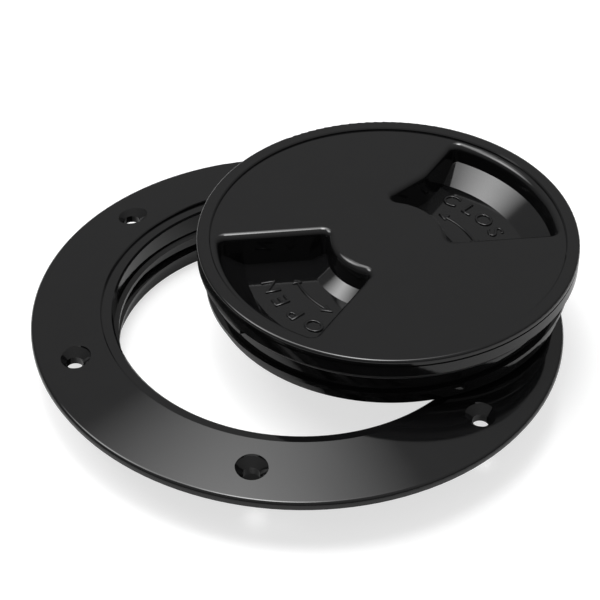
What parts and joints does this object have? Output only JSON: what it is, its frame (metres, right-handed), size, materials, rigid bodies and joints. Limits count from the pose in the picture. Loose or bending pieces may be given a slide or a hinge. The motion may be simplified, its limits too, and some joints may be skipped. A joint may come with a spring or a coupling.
{
  "type": "screw-out deck inspection plate",
  "caption": "Round screw-out access plate for a deck: flanged collar with countersunk fixing holes and inner thread, and its threaded lid with finger pockets, taken off and laid on it.",
  "frame": {"origin": "centre of the mounting ring, on the plane of the flange's underside, which is the deck's surface", "axes": "+Z along the ring's axis, up out of the deck; +X towards the side on which the lid taken off lies, its shift turned 2.4 degrees from +X towards +Y"},
  "size_m": [0.145, 0.14, 0.0366],
  "materials": {
    "black_plastic": "glossy moulded black",
    "seal_rubber": "satin black"
  },
  "bodies": {
    "root": {"mounting_ring": "black_plastic", "screw_lid": "black_plastic", "sealing_ring": "seal_rubber"}
  },
  "joints": []
}
